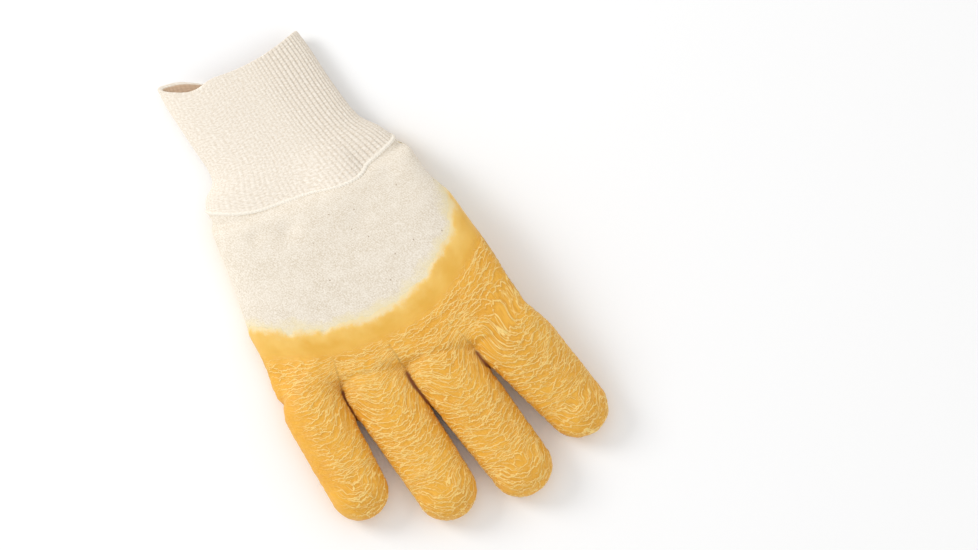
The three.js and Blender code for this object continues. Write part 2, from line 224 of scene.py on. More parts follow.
def section_distance(a, b, half_a, half_b, beyond=None):
    """Nearly the distance from a rounded flat section. Beyond is a third share, for a round tip."""
    u = np.abs(a) / half_a + 1e-6
    v = np.abs(b) / half_b + 1e-6
    q = (u**section_power + v**section_power) ** (1 / section_power)
    slope_a = (u / q) ** (section_power - 1) / half_a
    slope_b = (v / q) ** (section_power - 1) / half_b
    if beyond is None:
        return (q - 1) / np.hypot(slope_a, slope_b)
    w = beyond / tip_length
    whole = np.hypot(q, w)
    slope = np.sqrt((q * np.hypot(slope_a, slope_b)) ** 2 + (w / tip_length) ** 2) / whole
    return (whole - 1) / slope


def dent_at(x, y):
    depth = 0
    for across, along, radius, deep in dents:
        d2 = (x - across * hand_width) ** 2 + (y + along * hand_length) ** 2
        depth = depth + deep * hand_thickness * np.exp(-d2 / (radius * hand_width) ** 2)
    return depth


def hand_along(x, y, z):
    """The share of the hand's length of the section that a point is in."""
    along = -y / hand_length
    for _ in range(6):
        a = np.clip(along, 0, 1)
        lean = at(hand_table, "lean", a) * (z - at(hand_table, "z", a))
        along = (-y - at(hand_table, "skew", a) * x - lean) / hand_length
    return along


def hand_distance(x, y, z):
    along = hand_along(x, y, z)
    a = np.clip(along, 0, 1)
    turn = at(hand_table, "turn", a)
    half_thick = at(hand_table, "half_thick", a) * (1 - end_thinning * smooth(along, 1.07, 1.16))
    dx, dz = x - at(hand_table, "x", a), z - at(hand_table, "z", a)
    up = -dx * np.sin(turn) + dz * np.cos(turn)
    dz = dz + smooth(up / half_thick, 0.2, 0.9) * dent_at(x, y)
    side = dx * np.cos(turn) + dz * np.sin(turn)
    up = -dx * np.sin(turn) + dz * np.cos(turn)
    d = section_distance(side, up, at(hand_table, "half_width", a), half_thick)
    d = smax(d, (along - 1) * hand_length - web_reach(x), hand_join)
    return np.maximum(d, -along * hand_length * 0.83 - 8 * seam_radius)


def finger_frame(f, x, y):
    """A point's place along a finger from its root, its place across it, and the finger's sizes."""
    root_depth = 0.8 * f["width"]
    whole = f["length"] + root_depth
    x0 = f["across"] * hand_width
    turn = math.radians(f["splay"])
    skew = at(hand_table, "skew", knuckles)
    base_x = x0 - math.sin(turn) * root_depth
    base_y = -hand_length - skew * x0 + root_depth
    t = (x - base_x) * math.sin(turn) - (y - base_y) * math.cos(turn)
    side = (x - base_x) * math.cos(turn) + (y - base_y) * math.sin(turn)
    return t, side, root_depth, whole


def finger_distance(f, x, y, z):
    t, side, root_depth, whole = finger_frame(f, x, y)
    body = whole - tip_length
    share = np.clip(t, 0, body) / whole
    side = side - f["tuck"] * f["width"] * (1 - smooth(share, 0, 1.4 * root_depth / whole))
    clear = smooth(share, 0, 1.2 * root_depth / whole)
    size = (1 + (f["taper"] - 1) * share**1.6) * (0.45 + 0.55 * clear)
    half = finger_thickness / 2
    x0 = f["across"] * hand_width
    tilt = math.tan(at(hand_table, "turn", knuckles)) * (x0 - at(hand_table, "x", knuckles))
    tip_height = half * f["taper"] - settle
    root_height = max(at(hand_table, "z", knuckles) + tilt, tip_height)
    drop = smooth(share, 0.12, 1) * f["settles"]
    centre = root_height + (tip_height - root_height) * drop
    d = section_distance(side, z - centre, f["width"] / 2 * size, half * size, np.maximum(t - body, 0))
    return np.maximum(d, -t)


def thumb_distance(x, y, z):
    t = -0.6 * thumb_fork - y
    body = thumb_length - tip_length
    share = np.clip(t, 0, body) / thumb_length
    side = x - at(thumb_table, "across", share) * hand_width
    up = z - at(thumb_table, "height", share) * thumb_thickness + settle
    half_width = at(thumb_table, "wide", share) * thumb_width / 2
    half_thick = at(thumb_table, "thick", share) * thumb_thickness / 2
    d = section_distance(side, up, half_width, half_thick, np.maximum(t - body, 0))
    return np.maximum(d, -t)


def glove_distance(x, y, z):
    """Nearly the distance from the outer face of the hand, fingers and thumb, negative inside."""
    d = None
    for f in fingers:
        one = finger_distance(f, x, y, z)
        d = one if d is None else smin(d, one, finger_join)
    d = smin(d, hand_distance(x, y, z), hand_join)
    thumb = thumb_distance(x, y, z)
    room = smax(thumb - thumb_gap, y + thumb_fork, slit_round)
    d = smax(d, -room, slit_round)
    d = smin(d, thumb, thumb_join)
    return smax(d, -z, floor_round)


# ---------------------------------------------------------------- meshes
def surface_net(distance, low, high, step, level=0.0):
    """Points and four-sided faces of the surface where a distance function has a level. Each cell that
    the surface passes has one point, in the middle of where it crosses the cell's edges."""
    count = np.ceil((np.array(high) - low) / step).astype(int) + 1
    axes = [low[i] + step * np.arange(count[i]) for i in range(3)]
    field = np.empty(count, np.float32)
    for i in range(0, count[0], 24):
        x, y, z = np.meshgrid(axes[0][i : i + 24], axes[1], axes[2], indexing="ij")
        field[i : i + 24] = distance(x, y, z) - level
    inside = field < 0
    n = count - 1
    total = np.zeros(n, np.int8)
    for o in itertools.product((0, 1), repeat=3):
        total += inside[o[0] : n[0] + o[0], o[1] : n[1] + o[1], o[2] : n[2] + o[2]]
    active = (total > 0) & (total < 8)
    cells = np.argwhere(active)
    index = np.full(n, -1, np.int64)
    index[active] = np.arange(len(cells))
    place, met = np.zeros((len(cells), 3)), np.zeros(len(cells))
    for axis in range(3):
        others = [a for a in range(3) if a != axis]
        for o in itertools.product((0, 1), repeat=2):
            start = np.zeros(3, int)
            start[others] = o
            end = start.copy()
            end[axis] = 1
            a = field[tuple((cells + start).T)]
            b = field[tuple((cells + end).T)]
            cross = (a < 0) != (b < 0)
            t = np.where(cross, a / np.where(cross, a - b, 1), 0)
            point = start + np.outer(t, end - start)
            place += point * cross[:, None]
            met += cross
    points = np.array(low) + step * (cells + place / met[:, None])
    faces = []
    for axis in range(3):
        b, c = [a for a in range(3) if a != axis]
        lo = [slice(1, n[a]) for a in range(3)]
        lo[axis] = slice(0, n[axis])
        hi = list(lo)
        hi[axis] = slice(1, n[axis] + 1)
        first, second = inside[tuple(lo)], inside[tuple(hi)]
        edges = np.argwhere(first != second)
        low_inside = first[tuple(edges.T)]
        shift = np.ones(3, int)
        shift[axis] = 0
        edges = edges + shift
        ring = []
        for db, dc in ((-1, -1), (0, -1), (0, 0), (-1, 0)):
            cell = edges.copy()
            cell[:, b] += db
            cell[:, c] += dc
            ring.append(index[tuple(cell.T)])
        quad = np.stack(ring, 1)
        turned = low_inside if axis != 1 else ~low_inside
        quad[~turned] = quad[~turned][:, ::-1]
        faces.append(quad)
    return points, np.concatenate(faces)


def slopes(distance, p, h=0.25):
    """The gradient of a distance function at points."""
    out = np.empty_like(p)
    for i in range(3):
        e = np.zeros(3)
        e[i] = h
        out[:, i] = distance(*(p + e).T) - distance(*(p - e).T)
    return out / (2 * h)


def settle_on(distance, p, level=0.0, rounds=2):
    """Moves points onto the surface where the distance has a level."""
    for _ in range(rounds):
        g = slopes(distance, p)
        size = np.maximum((g * g).sum(1), 0.25)
        off = np.clip(distance(*p.T) - level, -0.6, 0.6)
        p = p - g * (off / size)[:, None]
    return p


def relax(p, faces, rounds):
    """Moves each point halfway to the middle of its neighbours."""
    for _ in range(rounds):
        total, met = np.zeros_like(p), np.zeros(len(p))
        for a, b in ((0, 1), (1, 2), (2, 3), (3, 0)):
            for u, v in ((a, b), (b, a)):
                for axis in range(3):
                    total[:, axis] += np.bincount(faces[:, u], p[faces[:, v], axis], len(p))
                met += np.bincount(faces[:, u], minlength=len(p))
        p = p + (total / np.maximum(met, 1)[:, None] - p) * 0.5
    return p


def make(name, points, faces, slot, *nodes):
    """An object of a mesh given in millimetres in the glove's own frame."""
    mesh = bpy.data.meshes.new(name)
    used = np.unique(faces)
    renumber = np.full(len(points), -1)
    renumber[used] = np.arange(len(used))
    mesh.from_pydata(((points[used] + origin) / 1000).tolist(), [], renumber[faces].tolist())
    mesh.validate()
    mesh.polygons.foreach_set("use_smooth", [True] * len(mesh.polygons))
    obj = bpy.data.objects.new(name, mesh)
    bpy.context.collection.objects.link(obj)
    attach(obj, "root")
    if nodes:
        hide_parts(*nodes)
    return obj, used


def store(obj, name, values):
    """Keeps one number or three for each point of an object's mesh."""
    values = np.asarray(values, np.float32)
    kind = "FLOAT" if values.ndim == 1 else "FLOAT_VECTOR"
    layer = obj.data.attributes.new(name, kind, "POINT")
    layer.data.foreach_set("value" if values.ndim == 1 else "vector", values.ravel())


# ---------------------------------------------------------------- the latex edge on the back of the hand
def spline(points, per=14):
    """A smooth curve through points, as many short straight stretches."""
    p = np.array([points[0], *points, points[-1]])
    out = []
    for i in range(1, len(p) - 2):
        a, b, c, d = p[i - 1 : i + 3]
        for t in np.linspace(0, 1, per, endpoint=False):
            square, cube = 2 * a - 5 * b + 4 * c - d, 3 * b - a - 3 * c + d
            out.append(0.5 * (2 * b + (c - a) * t + square * t**2 + cube * t**3))
    out.append(p[-2])
    return np.array(out)


def edge_distance(p):
    """How far a point of the outer face is inside the latex, in millimetres. Negative on bare cotton.
    The second result leaves out the edge along the sides and its ragged line."""
    line = spline([(a * hand_width, -b * hand_length) for a, b in dip_line])
    line = np.vstack([[line[0, 0], 60.0], line, [line[-1, 0], 60.0]])
    best = np.full(len(p), 1e9)
    inside = np.zeros(len(p), bool)
    x, y = p[:, 0], p[:, 1]
    closed = np.vstack([line, line[:1]])
    for (ax, ay), (bx, by) in zip(closed[:-1], closed[1:]):
        crosses = (ay > y) != (by > y)
        with np.errstate(divide="ignore", invalid="ignore"):
            inside ^= crosses & (x < (bx - ax) * (y - ay) / (by - ay) + ax)
    for (ax, ay), (bx, by) in zip(line[:-1], line[1:]):
        length = max((bx - ax) ** 2 + (by - ay) ** 2, 1e-9)
        t = np.clip(((x - ax) * (bx - ax) + (y - ay) * (by - ay)) / length, 0, 1)
        best = np.minimum(best, np.hypot(x - ax - t * (bx - ax), y - ay - t * (by - ay)))
    flat = np.where(inside, -best, best)
    roll = math.radians(dip_side_roll)
    rise = dip_side_height - edge_drop + math.tan(roll) * (x + 0.5 * hand_width)
    away = smax(flat, (rise - p[:, 2]) * math.cos(roll) * 1.6, 3.0)
    close = np.flatnonzero(np.abs(away) < 8)
    for size, amount in edge_bays:
        away[close] += [amount * noise.noise(Vector(q) / size) for q in p[close]]
    return away, flat


# ---------------------------------------------------------------- coordinates that the crinkles run along
def fork_points():
    """Where the gaps between the fingers begin."""
    skew = at(hand_table, "skew", knuckles)
    for a, b in zip(fingers[:-1], fingers[1:]):
        x = (a["across"] + b["across"]) / 2 * hand_width
        yield x, -hand_length - skew * x - web_reach(x) + fork_bow


def flow(p, flat, facing):
    """Across, along and up a finger or the hand, so bent that the crinkles curve as they do on each. The
    second result, where shade is painted, is 1 in the creases between the fingers, and falls to 0 beside them."""
    x, y, z = p.T
    along = hand_along(x, y, z) * hand_length
    back = smooth(facing, 0.1, 0.6)
    hand = np.stack([x, along + (flat + dip_depth - along) * back * smooth(flat, 60, 25), z], 1)
    distances = np.stack([finger_distance(f, x, y, z) for f in fingers], 1)
    nearest = distances.argmin(1)
    out = hand.copy()
    for i, f in enumerate(fingers):
        here = nearest == i
        t, side, root_depth, whole = finger_frame(f, x[here], y[here])
        body = whole - tip_length
        arc = t + side**2 / (1.9 * f["width"] / 2)
        tip = body + np.hypot(np.maximum(t - body, 0) + 6, 0.8 * side) - 6
        v = arc + (tip + side**2 / (2.6 * f["width"] / 2) - arc) * smooth(t, body - 14, body + 2)
        mine = np.stack([side + f["across"] * hand_width, hand_length + v - root_depth, z[here]], 1)
        w = smooth(t, root_depth - 14, root_depth + 8)
        out[here] = hand[here] + (mine - hand[here]) * w[:, None]
    for fx, fy in fork_points():
        r2 = (x - fx) ** 2 + (y - fy) ** 2
        out[:, 1] += fork_bow * np.exp(-r2 / (2 * fork_bow**2))
    first, second = np.sort(distances, 1)[:, :2].T
    past_hand = along - hand_length
    web = smooth(first, 0.1, 0.7) * np.exp(-((second / 3) ** 2)) * smooth(past_hand, 0, 4)
    fork = np.exp(-((second / 1.5) ** 2)) * smooth(past_hand, 3, 9)
    return out, np.maximum(fork, web)


# ---------------------------------------------------------------- the shell of hand, fingers and thumb
step = 0.86
low, high = (-90, -197, -1.5), (66, 24, 38)  # the box that holds the whole glove but for its knit
points, faces = surface_net(glove_distance, low, high, step)
points = settle_on(glove_distance, relax(points, faces, 2))
normals = slopes(glove_distance, points)
normals /= np.linalg.norm(normals, axis=1)[:, None]
edge, flat = edge_distance(points)
along = hand_along(*points.T)
past_seam = -along * hand_length  # how far past the wrist seam


def keep(mask):
    """The faces whose corners are all in a mask."""
    return faces[mask[faces].all(1)]


def pace(points, coords):
    """How fast the crinkles' coordinates run at each point, against the true way over the surface."""
    a = np.concatenate([faces[:, i] for i in range(faces.shape[1])])
    b = np.concatenate([faces[:, i - 1] for i in range(faces.shape[1])])
    way = np.linalg.norm(points[a] - points[b], axis=1)
    much = np.clip(np.linalg.norm(coords[a] - coords[b], axis=1) / (way + 1e-6), 0.2, 1.3)
    count = np.bincount(a, minlength=len(points)) + np.bincount(b, minlength=len(points))
    total = np.bincount(a, much, len(points)) + np.bincount(b, much, len(points))
    return np.where(count > 0, total / np.maximum(count, 1), 1.0)


shell = past_seam < seam_radius * 1.6 + seam_wander(points[:, 0], points[:, 2])
film = film_thickness * smooth(edge, -1.2, 2.5) - 0.35 * (1 - smooth(edge, -3.0, -0.6))
latex_points = points + normals * (film - film_inset)[:, None]
latex_faces = keep(shell & (edge > -latex_overlap))
latex, used = make("latex_gloss", latex_points, latex_faces, "latex", "latex_coat")
coords, crease = flow(points, flat, normals[:, 2])
store(latex, "flow", coords[used])
store(latex, "pace", pace(points, coords)[used])
store(latex, "edge", edge[used])
# The crease mask marks where shade is painted between the fingers.
store(latex, "crease", crease[used])
store(latex, "palm", smooth(normals[used, 2], 0.1, -0.4) * smooth(along[used], 1.07, 0.97))
store(latex, "wrist_way", along[used])

cotton_points = points - normals * cotton_inset
cotton_faces = keep(shell & (edge < cotton_overlap))
cotton, used = make("cotton_cloth", cotton_points, cotton_faces, "cotton", "cotton_back")
store(cotton, "flow", np.stack([points[:, 0], along * hand_length, points[:, 2]], 1)[used])
store(cotton, "edge", edge[used])

lining_step = 2.0
lining_level = -coated_wall - lining_inset
lining_points, lining_faces = surface_net(glove_distance, low, high, lining_step, lining_level)
lining_points = settle_on(glove_distance, relax(lining_points, lining_faces, 1), lining_level)
lining_end = seam_radius * 2 + seam_wander(lining_points[:, 0], lining_points[:, 2])
inner = -hand_along(*lining_points.T) * hand_length < lining_end
lining_faces = lining_faces[inner[lining_faces].all(1)][:, ::-1]
lining, used = make("cotton_lining", lining_points, lining_faces, "cotton")
store(lining, "flow", lining_points[used])
store(lining, "edge", np.full(len(used), -20.0))  # well inside the bare cotton


# ---------------------------------------------------------------- knit wrist and seam, as rings of points
def section_ring(half_width, half_thick, count):
    """Points round a flat section, across and up from its middle, closer together at its sides."""
    spread = 0.5 * np.clip((half_width / half_thick - 1) / 3, 0, 1)
    even = 2 * math.pi * np.arange(count) / count
    angle = even + spread / 2 * np.sin(2 * even)
    c, s = np.cos(angle), np.sin(angle)
    side = np.sign(c) * np.abs(c) ** (2 / section_power) * half_width
    return side, np.sign(s) * np.abs(s) ** (2 / section_power) * half_thick


def tube_faces(rings, count):
    """Faces between rings of points, the last ring joined to the first."""
    out = []
    j = np.arange(count)
    k = (j + 1) % count
    for i in range(rings):
        n = (i + 1) % rings
        out.append(np.stack([i * count + j, i * count + k, n * count + k, n * count + j], 1))
    return np.concatenate(out)


seam_x, seam_half = at(hand_table, "x", 0), at(hand_table, "half_width", 0)
seam_thick, seam_z, seam_turn = (at(hand_table, key, 0) for key in ("half_thick", "z", "turn"))


def cuff_ring(along, inset, shift, height, count):
    """One ring of the knit wrist. Height is how far each point stands above the sleeve's face."""
    row = {key: at(cuff_table, key, along) for key in cuff_table}
    tuck = seam_radius / 2
    left = (cuff_width / 2 - cuff_side) * (1 - row["left"]) + (seam_half - seam_x - tuck) * row["left"]
    right = (cuff_width / 2 + cuff_side) * (1 - row["right"]) + (seam_half + seam_x - tuck) * row["right"]
    half_thick = cuff_thickness / 2 * (1 - row["thick"]) + (seam_thick - tuck) * row["thick"]
    half_width, middle_x = (left + right) / 2, (right - left) / 2
    middle_z = (cuff_thickness / 2 - settle) * (1 - row["thick"]) + seam_z * row["thick"]
    turn = seam_turn * row["thick"]
    start = seam_radius + (1 - along) * (cuff_length + seam_radius + 2 * gap) + shift
    side, up = section_ring(half_width - inset, half_thick - inset, count)
    side, up = side * (1 + height / half_width), up * (1 + height / half_thick)
    x = middle_x + side * math.cos(turn) - up * math.sin(turn)
    z = middle_z + side * math.sin(turn) + up * math.cos(turn)
    lean = row["lean"] + row["loop"] * smooth(-x, loop_start, loop_full)
    y = start - row["skew"] * x + row["bow"] * x * x / cuff_width - lean * (z - middle_z)
    return np.stack([x, y, np.maximum(z, 0.02)], 1)


def pull_to_seam(ring, level):
    """How far each point of a ring in the seam's plane moves to lie on the hand where the seam wanders."""
    moved = ring + np.outer(seam_wander(ring[:, 0], ring[:, 2]), (0, 1, 0))
    skew, lean = at(hand_table, "skew", 0), at(hand_table, "lean", 0)
    for _ in range(12):
        g = slopes(glove_distance, moved)
        side, up = g[:, 0] - g[:, 1] * skew, g[:, 2] - g[:, 1] * lean
        off = np.clip(glove_distance(*moved.T) - level, -0.6, 0.6) / np.maximum(side**2 + up**2, 0.25)
        moved = moved - np.stack([side * off, -(skew * side + lean * up) * off, up * off], 1)
    return (moved - ring) * smooth(ring[:, 2], 2.5, 4)[:, None]


per_rib = 6
around = rib_count * per_rib
pull = pull_to_seam(cuff_ring(1, 0, 0, np.zeros(around), around), -seam_radius / 2)


def pulled_ring(along, inset, shift, height):
    return cuff_ring(along, inset, shift, height, around) + pull * smooth(along, 0.7, 1.0)


phase = np.arange(around) / per_rib
crest = np.abs(np.cos(math.pi * phase)) ** 0.7  # 1 on the ribs, 0 between them
rib_rows = 96
cuff_points, ups = [], []
thumb_side = np.cos(2 * math.pi * np.arange(around) / around)
deep = rib_depth + rib_depth_more * smooth(thumb_side, 0.1, 0.8)
for share in np.linspace(0, 1, rib_rows):
    gather = (1 + 0.5 * smooth(share, 0.86, 0.96)) * (1 - 0.5 * smooth(share, 0.97, 1))
    cuff_points.append(pulled_ring(share, 0, 0, (crest - 1) * deep * gather))
    ups.append(share)
for share in np.linspace(1, 0, inner_rows):
    cuff_points.append(pulled_ring(share, knit_wall, 0, (1 - crest) * inner_rib_depth))
    ups.append(share)
for turn in np.linspace(0, math.pi, fold_rows + 2)[1:-1]:
    inset = knit_wall / 2 * (1 + math.cos(turn))
    shift = knit_wall / 2 * math.sin(turn)
    depth = (crest - 1) * (deep * (1 - math.cos(turn)) / 2 - inner_rib_depth * (1 + math.cos(turn)) / 2)
    cuff_points.append(pulled_ring(0, inset, shift, depth))
    ups.append(-0.02)
cuff_faces = tube_faces(len(cuff_points), around)
cuff, used = make("rib_knit", np.concatenate(cuff_points), cuff_faces, "knit", "knit_wrist")
within = [0.0] * rib_rows + [1.0] * inner_rows + [0.0] * fold_rows
store(cuff, "rib", np.tile(crest, len(cuff_points))[used])
store(cuff, "inside", np.repeat(within, around)[used])
store(cuff, "deep", np.tile(deep, len(cuff_points))[used])
store(cuff, "flow", np.stack([
    np.tile(phase, len(cuff_points)), np.repeat(np.array(ups) * cuff_length, around),
    np.zeros(around * len(cuff_points)),
], 1)[used])


def seam_plane(x, z):
    """The y of the slanted plane that the wrist seam lies in."""
    return -at(hand_table, "skew", 0) * x - at(hand_table, "lean", 0) * (z - seam_z)


def seam_ring(inset, shift, count):
    side, up = section_ring(seam_half - inset, seam_thick - inset, count)
    x = seam_x + side * math.cos(seam_turn) - up * math.sin(seam_turn)
    z = seam_z + side * math.sin(seam_turn) + up * math.cos(seam_turn)
    z = z - smooth(up / seam_thick, 0.2, 0.9) * dent_at(x, seam_plane(x, z))
    return np.stack([x, seam_plane(x, z) + shift, np.maximum(z, 0.02)], 1)


welt_sides, welt_count = 12, 900
stitch = stitch_height * np.cos(2 * math.pi * np.arange(welt_count) * stitch_count / welt_count)
radius = seam_radius * welt_share + stitch
welt_pull = pull_to_seam(seam_ring(welt_inset, seam_radius, welt_count), -welt_inset)
welt = []
for i in range(welt_sides):
    turn = 2 * math.pi * i / welt_sides
    inset, shift = welt_inset - radius * math.cos(turn), seam_radius - radius * math.sin(turn)
    welt.append(seam_ring(inset, shift, welt_count) + welt_pull)
welt_faces = tube_faces(welt_sides, welt_count)
seam, used = make("seam_welt", np.concatenate(welt), welt_faces, "knit", "wrist_seam")
store(seam, "flow", np.stack([
    np.tile(np.arange(welt_count) * 0.27, welt_sides), np.repeat(np.arange(welt_sides) * 0.7, welt_count),
    np.zeros(welt_count * welt_sides),
], 1)[used])


# ---------------------------------------------------------------- node helpers
class Tree:
    """Short ways to add nodes to a shader tree or a geometry tree, which share these kinds."""

    def __init__(self, tree):
        self.tree = tree
        self.shader = tree.bl_idname == "ShaderNodeTree"

    def add(self, kind, **settings):
        node = self.tree.nodes.new(kind)
        for key, value in settings.items():
            setattr(node, key, value)
        return node

    def plug(self, socket, value):
        if isinstance(value, bpy.types.NodeSocket):
            self.tree.links.new(value, socket)
        else:
            socket.default_value = value

    def math(self, operation, a, b=0.0):
        node = self.add("ShaderNodeMath", operation=operation)
        self.plug(node.inputs[0], a)
        self.plug(node.inputs[1], b)
        return node.outputs[0]

    def times(self, a, b):
        return self.math("MULTIPLY", a, b)

    def plus(self, a, b):
        return self.math("ADD", a, b)

    def vector(self, operation, a, b):
        node = self.add("ShaderNodeVectorMath", operation=operation)
        self.plug(node.inputs[0], a)
        self.plug(node.inputs[1], b)
        return node.outputs[0]

    def range(self, value, lo, hi, to_lo=0.0, to_hi=1.0):
        """A smooth step from to_lo to to_hi while the value goes from lo to hi."""
        node = self.add("ShaderNodeMapRange", interpolation_type="SMOOTHSTEP")
        for i, v in enumerate((value, lo, hi, to_lo, to_hi)):
            self.plug(node.inputs[i], v)
        return node.outputs[0]

    def noise(self, coords, scale, detail=2.0, rough=0.5, colour=False):
        node = self.add("ShaderNodeTexNoise", noise_dimensions="3D")
        self.plug(node.inputs["Vector"], coords)
        for key, v in (("Scale", scale), ("Detail", detail), ("Roughness", rough)):
            self.plug(node.inputs[key], v)
        return node.outputs["Color" if colour else "Fac"]

    def part(self, vector, axis):
        """One coordinate of a vector."""
        node = self.add("ShaderNodeSeparateXYZ")
        self.plug(node.inputs[0], vector)
        return node.outputs[axis]

    def attribute(self, name, vector=False):
        if self.shader:
            node = self.add("ShaderNodeAttribute", attribute_type="GEOMETRY", attribute_name=name)
            return node.outputs["Vector" if vector else "Fac"]
        node = self.add("GeometryNodeInputNamedAttribute", data_type="FLOAT_VECTOR" if vector else "FLOAT")
        node.inputs["Name"].default_value = name
        return node.outputs[0]

    def mix(self, factor, a, b):
        node = self.add("ShaderNodeMix", data_type="RGBA")
        self.plug(node.inputs[0], factor)
        self.plug(node.inputs[6], a)
        self.plug(node.inputs[7], b)
        return node.outputs[2]


def net(t, coords, stretch, size, sway, seed):
    """Distance in millimetres from the nearest line of a branching net with cells of about that size, and
    how far that line runs across, from 0 to 1. Dividing by the slope keeps the lines of one width."""
    reach = 0.06  # over which the slope is measured

    def sample(shift):
        point = t.vector("ADD", coords, tuple(v + seed for v in shift))
        bend = t.vector("SUBTRACT", t.noise(point, 0.26, 2.0, 0.6, colour=True), (0.5, 0.5, 0.5))
        point = t.vector("ADD", point, t.vector("MULTIPLY", bend, (sway, sway, sway)))
        cells = t.add("ShaderNodeTexVoronoi", feature="DISTANCE_TO_EDGE")
        t.plug(cells.inputs["Vector"], t.vector("MULTIPLY", point, stretch))
        cells.inputs["Scale"].default_value = 1 / size
        return cells.outputs["Distance"]

    here = sample((0, 0, 0))
    steps = [t.math("SUBTRACT", sample(tuple(reach * (i == j) for j in range(3))), here) for i in range(3)]
    squares = [t.times(step, step) for step in steps]
    slope = t.math("SQRT", t.plus(t.plus(squares[0], squares[1]), squares[2]))
    slope = t.math("MAXIMUM", slope, reach * 0.15 / size)
    away = t.math("DIVIDE", t.times(here, reach), slope)
    return away, t.math("DIVIDE", t.math("ABSOLUTE", steps[1]), slope)


def crinkles(t, *halves):
    """Heights from 0 to 1 of the latex's crinkles, one for each half width of a ridge in millimetres."""
    coords = t.attribute("flow", True)
    stretch = t.add("ShaderNodeCombineXYZ")
    wide = t.range(t.attribute("palm"), 0.0, 1.0, 0.32, 0.7)
    t.plug(stretch.inputs[0], wide)
    stretch.inputs[1].default_value = 1.0
    t.plug(stretch.inputs[2], wide)
    palm = t.attribute("palm")
    wide_away, across = net(t, coords, stretch.outputs[0], wide_size, wide_sway, 0.0)
    across = t.math("MAXIMUM", t.range(across, 0.15, 0.8, 0.25, 1.0), palm)
    wide_much = t.times(across, t.range(t.noise(coords, 0.16, 2.0), 0.28, 0.5, 0.3, 1.0))
    fine_away, across = net(t, coords, (0.42, 1.0, 0.42), fine_size, fine_sway, 57.0)
    fine_much = t.range(t.noise(coords, 0.21, 2.0), 0.38, 0.56, 0.15, 0.65)
    fine_much = t.times(t.range(across, 0.3, 0.9), fine_much)
    # They fade on the little finger's outer side and near the latex edge, but not all over the palm.
    outer = t.range(t.part(coords, 0), -77.0, -66.0, 0.25, 1.0)
    inland = t.times(palm, t.range(t.attribute("wrist_way"), 0.06, 0.2))
    from_edge = t.range(t.attribute("edge"), crinkle_from, crinkle_full)
    much = t.times(outer, t.math("MAXIMUM", from_edge, inland))
    pace_here = t.attribute("pace")
    wide_away = t.math("DIVIDE", wide_away, pace_here)
    fine_away = t.math("DIVIDE", fine_away, pace_here)
    for half in halves:
        wide = t.times(t.range(wide_away, half, 0.0), wide_much)
        fine = t.times(t.range(fine_away, half * 0.75, 0.0), fine_much)
        yield t.times(t.math("MAXIMUM", wide, fine), much)


# ---------------------------------------------------------------- crinkles as geometry
def geometry_tree(name):
    tree = bpy.data.node_groups.new(name, "GeometryNodeTree")
    tree.interface.new_socket("Geometry", in_out="INPUT", socket_type="NodeSocketGeometry")
    tree.interface.new_socket("Geometry", in_out="OUTPUT", socket_type="NodeSocketGeometry")
    return tree, Tree(tree)


tree, t = geometry_tree("crinkle_shape")
enter, leave = t.add("NodeGroupInput"), t.add("NodeGroupOutput")
place = t.add("GeometryNodeSetPosition")
normal = t.add("GeometryNodeInputNormal")
height = t.times(next(crinkles(t, 1.0)), crinkle_height / 1000)
swell = t.math("SUBTRACT", t.noise(t.attribute("flow", True), 0.2, 2.0), 0.5)
swell = t.times(t.times(swell, t.range(t.attribute("edge"), 4.0, 18.0)), swell_height / 1000)
push = t.add("ShaderNodeVectorMath", operation="SCALE")
t.plug(push.inputs[0], normal.outputs[0])
above = t.part(t.add("GeometryNodeInputPosition").outputs[0], 2)
lift = t.times(t.plus(height, swell), t.range(above, 0.0, 0.003))  # none where it rests
t.plug(push.inputs["Scale"], lift)
t.plug(place.inputs["Geometry"], enter.outputs[0])
t.plug(place.inputs["Offset"], push.outputs[0])
t.plug(leave.inputs[0], place.outputs[0])
latex.modifiers.new("crinkles", "NODES").node_group = tree


# ---------------------------------------------------------------- materials
def material(name):
    m = bpy.data.materials.new(name)
    m.use_nodes = True
    m.node_tree.nodes.clear()
    t = Tree(m.node_tree)
    shader = t.add("ShaderNodeBsdfPrincipled")
    out = t.add("ShaderNodeOutputMaterial")
    t.plug(out.inputs["Surface"], shader.outputs[0])
    return m, t, shader


def paint(t, shader, colour, roughness, specular, height, distance):
    """Sets a shader's colour and gloss, and a bump whose height of 1 stands for a distance in metres."""
    node = t.add("ShaderNodeBump")
    t.plug(node.inputs["Height"], height)
    node.inputs["Distance"].default_value = distance
    t.plug(shader.inputs["Base Color"], colour)
    t.plug(shader.inputs["Roughness"], roughness)
    shader.inputs["Specular IOR Level"].default_value = specular
    t.plug(shader.inputs["Normal"], node.outputs[0])


latex_dark, latex_light, latex_grain = (0.77, 0.365, 0.026, 1), (0.84, 0.43, 0.038, 1), (0.93, 0.53, 0.085, 1)
film_dark, film_light, film_thin = (0.77, 0.42, 0.055, 1), (0.84, 0.50, 0.10, 1), (0.90, 0.62, 0.19, 1)
# Painted light: a highlight on the ridge tops, and shade beside the ridges and in the creases between the
# fingers.
ridge_highlight, ridge_shade, crease_shade = (1.0, 0.72, 0.25, 1), (0.58, 0.21, 0.012, 1), (0.20, 0.045, 0.008, 1)
cotton_dark, cotton_light, cotton_pale = (0.70, 0.61, 0.485, 1), (0.905, 0.835, 0.73, 1), (0.91, 0.85, 0.755, 1)
# The last of these is shade painted on the knit's inside.
yarn_dark, yarn_light, knit_inside_shade = (0.75, 0.66, 0.545, 1), (0.905, 0.84, 0.745, 1), (0.60, 0.40, 0.25, 1)
welt_dark, welt_light = (0.84, 0.77, 0.66, 1), (0.91, 0.855, 0.76, 1)
wale_shade, rib_shade, husk_brown = (0.55, 0.46, 0.34, 1), (0.55, 0.45, 0.34, 1), (0.30, 0.19, 0.11, 1)
stain_on_latex, stain_on_cotton = (0.83, 0.70, 0.42, 1), (0.84, 0.72, 0.44, 1)

